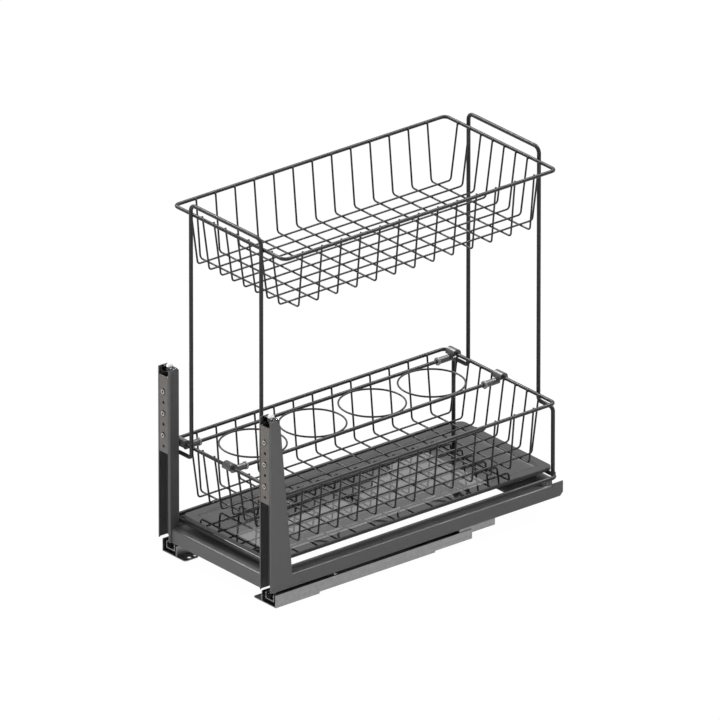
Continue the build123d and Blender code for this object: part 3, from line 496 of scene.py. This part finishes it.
# Operators
class PaintFrame(bpy.types.Operator):
    """Powder coat on the side frames, posts, beam and rear plate"""

    bl_idname = "basket.paint_frame"
    bl_label = "Paint Frame"

    def execute(self, context):
        paint = coated(
            "frame_powder_coat", context.scene.basket_finishes.paint,
            grain_scale=1400.0, mottle=0.10, roughness=0.42, bump=0.35)
        finish_nodes(
            paint, *both_sides("side_frame", "post_channel"), "front_beam", "rear_plate")
        return {"FINISHED"}


class PaintWires(bpy.types.Operator):
    """Powder coat on the hoops, rims, wires and bottle holder"""

    bl_idname = "basket.paint_wires"
    bl_label = "Paint Wires"

    def execute(self, context):
        paint = coated(
            "wire_powder_coat", context.scene.basket_finishes.wire, grain_scale=1800.0,
            mottle=0.2, roughness=0.42, bump=0.3, edge=0.0, shine=0.3, speckle=1.6)
        finish_nodes(
            paint, "base_ring", "front_hoop", "rear_hoop", "upper_basket_rim",
            "upper_cross_wires", "upper_long_wires", "lower_basket_rim", "lower_cross_wires",
            "lower_long_wires", "holder_rods", "bottle_rings")
        return {"FINISHED"}


class WeldWires(bpy.types.Operator):
    """Weld beads where the wires meet the rims, and fillets where the legs meet the base ring"""

    bl_idname = "basket.weld_wires"
    bl_label = "Weld Wires"

    def execute(self, context):
        paint = bpy.data.materials["wire_powder_coat"]
        seam = RIM_RADIUS * 2
        for level in ("upper", "lower"):
            low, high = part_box(f"{level}_basket_rim")
            cross_low, cross_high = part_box(f"{level}_cross_wires")
            long_low, long_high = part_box(f"{level}_long_wires")
            rim_z = (low[2] + high[2]) / 2
            placings = []
            for y in spread(
                    CROSS_WIRE_COUNT, cross_low[1] + WIRE_RADIUS, cross_high[1] - WIRE_RADIUS):
                placings += [at(low[0] + seam, y, rim_z), at(high[0] - seam, y, rim_z)]
            for x in spread(
                    LONG_WIRE_COUNT, long_low[0] + WIRE_RADIUS, long_high[0] - WIRE_RADIUS):
                placings += [at(x, low[1] + seam, rim_z), at(x, high[1] - seam, rim_z)]
            beads = copies_joined(weld_bead(), placings, f"{level}_wire_welds")
            finish_piece(beads, paint, "carriage")
        ring_low, ring_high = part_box("base_ring")
        leg_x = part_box("front_hoop")[1][0] - ROD_RADIUS
        foot_z = ring_high[2] - FOOT_SINK
        feet = [at(x, y, foot_z) for x in (-leg_x, leg_x)
                for y in (ring_low[1] + ROD_RADIUS, ring_high[1] - ROD_RADIUS)]
        fillets = copies_joined(turned(LEG_WELD), feet, "leg_welds")
        finish_piece(fillets, paint, "carriage")
        return {"FINISHED"}


class FinishTray(bpy.types.Operator):
    """Coated border and smoked sheet of the tray"""

    bl_idname = "basket.finish_tray"
    bl_label = "Finish Tray"

    def execute(self, context):
        finishes = context.scene.basket_finishes
        coat = coated(
            "tray_coat", finishes.tray,
            grain_scale=1100.0, mottle=0.08, roughness=0.85, bump=0.04, edge=0.0)
        finish_nodes(glossy_top(coat), "tray_frame")
        finish_nodes(see_through("smoked_sheet", finishes.smoke, 0.03), "tray_glass")
        return {"FINISHED"}


class FinishRunners(bpy.types.Operator):
    """Zinc plate, balls, cages, stops and dampers of the runners"""

    bl_idname = "basket.finish_runners"
    bl_label = "Finish Runners"

    def execute(self, context):
        zinc = rolled("runner_zinc", context.scene.basket_finishes.zinc, 0.36)
        finish_nodes(zinc, *both_sides("cabinet_rail", "middle_rail", "drawer_rail"))
        cage = rolled("cage_zinc", CAGE_COLOR, 0.42)
        finish_nodes(cage, *both_sides("lower_ball_cage", "upper_ball_cage"))
        ball = rolled("ball_steel", BALL_COLOR, 0.12, 0.03)
        finish_nodes(ball, *both_sides("lower_balls", "upper_balls"))
        stop = coated(
            "stop_plastic", STOP_COLOR, grain_scale=700.0, mottle=0.10, roughness=0.50, bump=0.4)
        finish_nodes(stop, *both_sides("rear_stop", "soft_close_unit"))
        return {"FINISHED"}


class FinishBrackets(bpy.types.Operator):
    """Steel door brackets, bright screws, rivets, tabs and washers, and clear caps"""

    bl_idname = "basket.finish_brackets"
    bl_label = "Finish Brackets"

    def execute(self, context):
        steel = coated(
            "bracket_steel", context.scene.basket_finishes.bracket,
            grain_scale=1200.0, mottle=0.15, roughness=0.36, bump=0.3)
        finish_nodes(steel, *both_sides("door_bracket"))
        bright = rolled("fastener_steel", FASTENER_COLOR, 0.25)
        finish_nodes(
            bright, *both_sides("bracket_screws"), "runner_rivets", "catch_tabs",
            "saddle_washers")
        finish_nodes(see_through("cap_plastic", CAP_TINT, 0.12), *both_sides("post_cap"))
        return {"FINISHED"}


class ShadeScrewRecesses(bpy.types.Operator):
    """Painted shade: dark discs in the drive recesses of the bracket screws' heads, standing in
    for the shadow in the recesses
    """

    bl_idname = "basket.sink_screws"
    bl_label = "Shade Screw Recesses"

    def execute(self, context):
        # The discs' near-black colour is painted shade for the shadowed drive recesses.
        dark = coated(
            "screw_recess_shade", RECESS_SHADE_COLOR, grain_scale=700.0, mottle=0.1, roughness=0.5,
            bump=0.2, edge=0.0, shine=0.2)
        forwards = Matrix.Rotation(math.radians(90), 4, "X")
        for side in ("left", "right"):
            low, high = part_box(f"bracket_screws_{side}")
            x = (low[0] + high[0]) / 2
            heights = spread(
                SCREW_COUNT, low[2] + SCREW_HEAD_RADIUS, high[2] - SCREW_HEAD_RADIUS)
            placings = [at(x, low[1], z, forwards) for z in heights]
            recesses = copies_joined(
                turned(SCREW_RECESS, RECESS_SIDES), placings, f"screw_recesses_{side}")
            finish_piece(recesses, dark, "carriage")
        return {"FINISHED"}


class FitKnobs(bpy.types.Operator):
    """Light plastic knobs on the caps in the tops of the posts; their light colour also paints
    the glint on the post tops as a painted highlight
    """

    bl_idname = "basket.fit_knobs"
    bl_label = "Fit Knobs"

    def execute(self, context):
        # The knob's light colour is partly a painted highlight for the glint on the post tops.
        light = coated(
            "knob_plastic_glint", KNOB_GLINT_COLOR, grain_scale=600.0, mottle=0.05, roughness=0.2, bump=0.1)
        for side in ("left", "right"):
            low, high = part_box(f"post_cap_{side}")
            x, y = (low[0] + high[0]) / 2, (low[1] + high[1]) / 2
            placings = [at(x, y, high[2] - KNOB_RISE)]
            knob = copies_joined(turned(KNOB), placings, f"post_knob_{side}")
            finish_piece(knob, light, "carriage")
        return {"FINISHED"}


class FinishClips(bpy.types.Operator):
    """Moulded clips and saddles"""

    bl_idname = "basket.finish_clips"
    bl_label = "Finish Clips"

    def execute(self, context):
        plastic = coated(
            "clip_plastic", context.scene.basket_finishes.clip,
            grain_scale=900.0, mottle=0.08, roughness=0.40, bump=0.35)
        finish_nodes(
            plastic, "holder_clip_front_side", "holder_clip_front_middle",
            "holder_clip_rear_side", "holder_clip_rear_middle")
        saddle = coated(
            "saddle_plastic", SADDLE_COLOR,
            grain_scale=700.0, mottle=0.06, roughness=0.3, bump=0.2)
        finish_nodes(saddle, "ring_saddles")
        return {"FINISHED"}


class CollarClips(bpy.types.Operator):
    """Collars at the ends of the clips' sockets"""

    bl_idname = "basket.collar_clips"
    bl_label = "Collar Clips"

    def execute(self, context):
        plastic = bpy.data.materials["clip_plastic"]
        rod_low, rod_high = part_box("holder_rods")
        rod_z = (rod_low[2] + rod_high[2]) / 2
        sideways = Matrix.Rotation(math.radians(90), 4, "X")
        placings = []
        for place in ("side", "middle"):
            for end in ("front", "rear"):
                low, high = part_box(f"holder_clip_{end}_{place}")
                x = (low[0] + high[0]) / 2
                y = high[1] - COLLAR_INSET if end == "front" else low[1] + COLLAR_INSET
                placings.append(at(x, y, rod_z, sideways))
        collars = copies_joined(turned(CLIP_COLLAR), placings, "clip_collars")
        finish_piece(collars, plastic, "bottle_holder")
        return {"FINISHED"}


# Stage helpers
def look_from(azimuth, elevation):
    """Right, up and back directions of a camera that looks at the object."""
    sin_a, cos_a = math.sin(azimuth), math.cos(azimuth)
    sin_e, cos_e = math.sin(elevation), math.cos(elevation)
    back = Vector((sin_a * cos_e, -cos_a * cos_e, sin_e))
    right = Vector((cos_a, sin_a, 0.0))
    return right, back.cross(right), back


def lay_floor():
    """A pale floor under the object, plain white to the rays that see a white surround."""
    bpy.ops.mesh.primitive_plane_add(size=FLOOR_SIZE, location=(0, 0, CAD_BOX[0][2]))
    floor = bpy.context.object
    floor.name = "floor"
    material, tree, shader = start_material("white_floor")
    shader.inputs["Base Color"].default_value = FLOOR_COLOR
    shader.inputs["Roughness"].default_value = FLOOR_ROUGHNESS
    glow = new_node(tree, "ShaderNodeEmission", (0, -400), Strength=1.0)
    share = calculate(
        tree, "MULTIPLY", (0, -600), white_seen(tree, (-600, -500)), FLOOR_WHITE_SHARE)
    mix = new_node(tree, "ShaderNodeMixShader", (300, -100))
    tree.links.new(share, mix.inputs["Fac"])
    tree.links.new(shader.outputs["BSDF"], mix.inputs[1])
    tree.links.new(glow.outputs["Emission"], mix.inputs[2])
    tree.links.new(mix.outputs["Shader"], tree.nodes["Material Output"].inputs["Surface"])
    floor.data.materials.append(material)


def light_sky(scene, strength):
    """An even studio light, plain white to the rays that see a white surround."""
    world = scene.world or bpy.data.worlds.new("studio")
    scene.world = world
    world.use_nodes = True
    tree = world.node_tree
    sky = tree.nodes["Background"]
    sky.inputs["Color"].default_value = WHITE
    level = calculate(
        tree, "MULTIPLY_ADD", (-200, 0), white_seen(tree, (-900, 0)), 1.0 - strength, strength)
    tree.links.new(level, sky.inputs["Strength"])


def hang_lamps(stage):
    """Two top lamps for the flat tops and a soft lamp in front, which no gloss mirrors."""
    for name, side, share in TOP_LAMPS:
        bpy.ops.object.light_add(type="SUN", location=TOP_LAMP_PLACE)
        lamp = bpy.context.object
        lamp.name = name
        lamp.rotation_euler = Vector(side).to_track_quat("Z", "Y").to_euler()
        lamp.data.energy = stage.key * share
        lamp.data.angle = TOP_LAMP_ANGLE
    bpy.ops.object.light_add(type="AREA", location=FRONT_LAMP_PLACE)
    lamp = bpy.context.object
    lamp.name = "front_lamp"
    lamp.data.name = "front_lamp"
    lamp.data.shape = "DISK"
    lamp.data.size = FRONT_LAMP_SIZE
    lamp.data.energy = stage.fill
    side = Vector(FRONT_LAMP_PLACE) - Vector(FRONT_LAMP_AIM)
    lamp.rotation_euler = side.to_track_quat("Z", "Y").to_euler()
    lamp.visible_glossy = False


def set_camera(scene, stage):
    """The camera at the photograph's angle, with a lens that keeps the picture's scale."""
    right, up, back = look_from(stage.azimuth, stage.elevation)
    rim_low, rim_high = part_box("upper_basket_rim")
    pivot = Vector((0.0, (rim_low[1] + rim_high[1]) / 2, PIVOT_HEIGHT))
    place = pivot + right * stage.aim_right + up * stage.aim_up + back * stage.distance
    bpy.ops.object.camera_add(
        location=place, rotation=(math.pi / 2 - stage.elevation, 0.0, stage.azimuth))
    camera = bpy.context.object
    camera.name = "photo_camera"
    camera.data.sensor_width = SENSOR_WIDTH
    camera.data.lens = SENSOR_WIDTH * stage.scale * stage.distance / PICTURE_WIDTH
    camera.data.clip_start = CAMERA_NEAR
    camera.data.clip_end = CAMERA_FAR
    scene.camera = camera


class SetStage(bpy.types.Operator):
    """Floor, lamps, world and camera"""

    bl_idname = "basket.set_stage"
    bl_label = "Set Stage"

    def execute(self, context):
        scene = context.scene
        stage = scene.basket_stage
        lay_floor()
        light_sky(scene, stage.sky)
        hang_lamps(stage)
        set_camera(scene, stage)
        scene.view_settings.view_transform = "Standard"
        return {"FINISHED"}


OPERATORS = (
    PaintFrame, PaintWires, WeldWires, FinishTray, FinishRunners, FinishBrackets, ShadeScrewRecesses,
    FitKnobs, FinishClips, CollarClips, SetStage)


class BasketPanel(bpy.types.Panel):
    """Shows the basket's finishes, its stage settings and its operators"""

    bl_idname = "VIEW3D_PT_pull_out_basket"
    bl_label = "Pull Out Basket"
    bl_space_type = "VIEW_3D"
    bl_region_type = "UI"
    bl_category = "Pull Out Basket"

    def draw(self, context):
        layout = self.layout
        for settings in (context.scene.basket_finishes, context.scene.basket_stage):
            for name in settings.bl_rna.properties.keys():
                if name not in ("rna_type", "name"):
                    layout.prop(settings, name)
        for operator in OPERATORS:
            layout.operator(operator.bl_idname)


CLASSES = (BasketFinishes, BasketStage, *OPERATORS, BasketPanel)


def register():
    for item in CLASSES:
        bpy.utils.register_class(item)
    bpy.types.Scene.basket_finishes = bpy.props.PointerProperty(type=BasketFinishes)
    bpy.types.Scene.basket_stage = bpy.props.PointerProperty(type=BasketStage)


def unregister():
    del bpy.types.Scene.basket_stage
    del bpy.types.Scene.basket_finishes
    for item in reversed(CLASSES):
        bpy.utils.unregister_class(item)


def main():
    register()
    deselect()
    bpy.ops.basket.paint_frame()
    bpy.ops.basket.paint_wires()
    bpy.ops.basket.weld_wires()
    bpy.ops.basket.finish_tray()
    bpy.ops.basket.finish_runners()
    bpy.ops.basket.finish_brackets()
    bpy.ops.basket.sink_screws()
    bpy.ops.basket.fit_knobs()
    bpy.ops.basket.finish_clips()
    bpy.ops.basket.collar_clips()
    bpy.ops.basket.set_stage()


if __name__ == "__main__":
    main()
